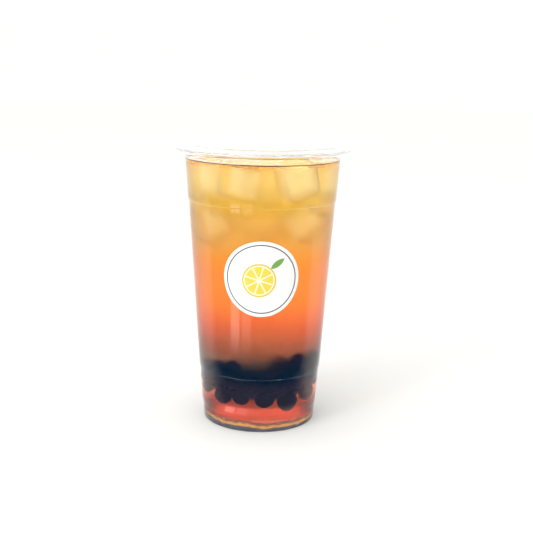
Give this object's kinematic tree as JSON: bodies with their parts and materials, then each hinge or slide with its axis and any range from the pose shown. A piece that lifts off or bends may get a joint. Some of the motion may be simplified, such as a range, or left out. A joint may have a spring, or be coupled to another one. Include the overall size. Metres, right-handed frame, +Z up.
{
  "type": "bubble tea",
  "caption": "Clear tapered plastic cup with a flat press-on lid, filled with iced fruit tea over a heap of dark tapioca pearls, with a round sticker in front.",
  "frame": {"origin": "the middle of the foot ring, on the surface that the cup stands on", "axes": "+Z is up along the cup's axis; the sticker faces -Y; +X is to the right when looking at the sticker"},
  "size_m": [0.0992, 0.0992, 0.1611],
  "materials": {
    "cup_plastic": "clear thin plastic sheet, glossy",
    "lid_plastic": "clear thin plastic sheet, glossy",
    "tea": "clear liquid, amber above and red-orange below",
    "tapioca": "smooth, wet and glossy, near black",
    "sticker": "white coated paper, satin"
  },
  "bodies": {
    "root": {"cup": "cup_plastic", "lid": "lid_plastic", "drink": "tea", "pearls": "tapioca", "label": "sticker"}
  },
  "joints": []
}
